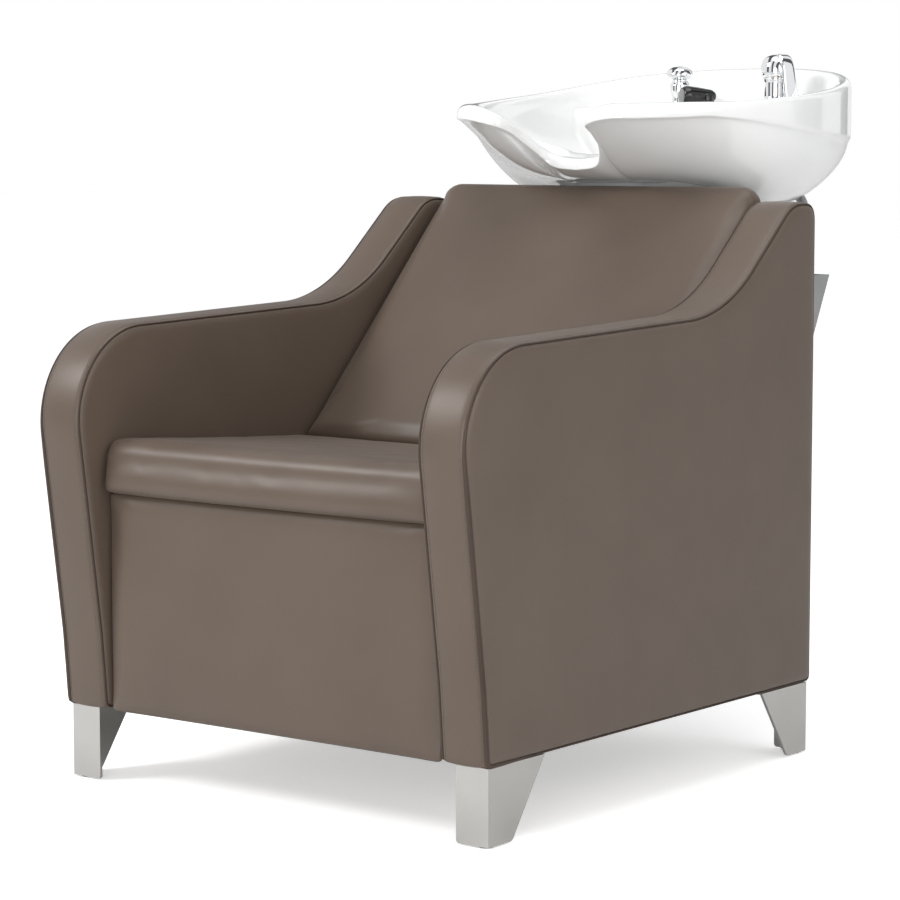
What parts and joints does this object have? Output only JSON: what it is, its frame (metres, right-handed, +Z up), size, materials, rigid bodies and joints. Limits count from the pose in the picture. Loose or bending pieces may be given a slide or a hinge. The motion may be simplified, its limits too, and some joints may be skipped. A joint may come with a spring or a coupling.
{
  "type": "shampoo backwash unit",
  "caption": "Upholstered salon backwash chair with S-shaped arms, folded metal legs and a tilting ceramic basin with neck notch, mixer and hand spray behind the backrest.",
  "frame": {"origin": "on the floor, in the middle of the four floor anchor holes", "axes": "+Z up, +Y to the rear of the chair, +X to the sitter's left"},
  "size_m": [0.68, 1.1539, 0.936],
  "materials": {
    "leatherette": "satin",
    "plywood": "matte",
    "black_board": "matte",
    "brushed_leg": "satin",
    "zinc": "satin",
    "frame_paint": "satin",
    "rubber": "matte",
    "ceramic": "gloss",
    "chrome": "gloss",
    "black_plastic": "gloss",
    "pale_plastic": "matte",
    "brass": "satin",
    "braid": "satin",
    "cover_grey": "satin"
  },
  "bodies": {
    "chair": {"arm_band_left": "leatherette", "arm_band_right": "leatherette", "arm_core_left": "plywood", "arm_core_right": "plywood", "arm_inner_panel_left": "leatherette", "arm_inner_panel_right": "leatherette", "arm_outer_panel_left": "leatherette", "arm_outer_panel_right": "leatherette", "back_board": "plywood", "back_cushion": "leatherette", "base_frame": "frame_paint", "basin_bracket": "frame_paint", "frame_bolts": "zinc", "friction_washer": "black_plastic", "front_panel_board": "plywood", "front_panel_pad": "leatherette", "leg_front_left": "brushed_leg", "leg_front_right": "brushed_leg", "leg_glides": "rubber", "leg_rear_left": "brushed_leg", "leg_rear_right": "brushed_leg", "leg_screws": "zinc", "rear_panel": "black_board", "seat_batten_left": "plywood", "seat_batten_right": "plywood", "seat_board": "plywood", "seat_cushion": "leatherette", "supply_hose_cold": "braid", "supply_hose_cold_nut": "brass", "supply_hose_hot": "braid", "supply_hose_hot_nut": "brass", "tilt_bushes": "black_plastic", "tilt_pin": "zinc", "tilt_yoke": "frame_paint", "waste_hose": "rubber"},
    "basin": {"basin": "ceramic", "basin_pads": "rubber", "tilt_cradle": "frame_paint", "mixer_body": "chrome", "mixer_gasket": "rubber", "mixer_nut": "zinc", "mixer_cartridge": "brass", "breaker_body": "chrome", "breaker_gasket": "rubber", "breaker_nut": "zinc", "breaker_cap": "chrome", "spray_holder": "chrome", "drain_flange": "chrome", "drain_gasket": "rubber", "drain_nut": "zinc", "tail_pipe": "chrome"},
    "mixer_turret": {"mixer_dome": "chrome"},
    "mixer_handle": {"mixer_lever": "chrome"},
    "vacuum_float": {"breaker_float": "black_plastic"},
    "hand_spray": {"spray_head": "black_plastic", "spray_face": "pale_plastic", "spray_hose": "rubber"},
    "strainer": {"hair_strainer": "chrome"},
    "cover": {"rear_cover": "cover_grey"},
    "clamp": {"clamp_knob": "black_plastic"}
  },
  "joints": [
    {"name": "basin_tilt", "type": "hinge", "parent": "chair", "child": "basin", "pos_m": [0, 0.44, 0.64], "axis": [-1, 0, 0], "range_deg": [-1, 12], "deforming": ["supply_hose_hot", "supply_hose_cold", "waste_hose"]},
    {"name": "clamp_turn", "type": "hinge", "parent": "chair", "child": "clamp", "pos_m": [0, 0.44, 0.64], "axis": [1, 0, 0], "range_deg": [-180, 180]},
    {"name": "mixer_turn", "type": "hinge", "parent": "basin", "child": "mixer_turret", "pos_m": [0.095, 0.652, 0.862], "axis": [0, 0, 1], "range_deg": [-65, 2]},
    {"name": "mixer_lift", "type": "hinge", "parent": "mixer_turret", "child": "mixer_handle", "pos_m": [0.11191, 0.64584, 0.92], "axis": [-0.342, -0.9397, 0], "range_deg": [0, 20]},
    {"name": "float_lift", "type": "slide", "parent": "basin", "child": "vacuum_float", "axis": [0, 0, 1], "range_m": [0, 0.003]},
    {"name": "spray_pull", "type": "slide", "parent": "basin", "child": "hand_spray", "axis": [0, 0, 1], "range_m": [0, 0.08]},
    {"name": "strainer_lift", "type": "slide", "parent": "basin", "child": "strainer", "axis": [0, 0, 1], "range_m": [0, 0.06]},
    {"name": "cover_off", "type": "slide", "parent": "chair", "child": "cover", "axis": [0, 1, 0], "range_m": [0, 0.16]}
  ]
}
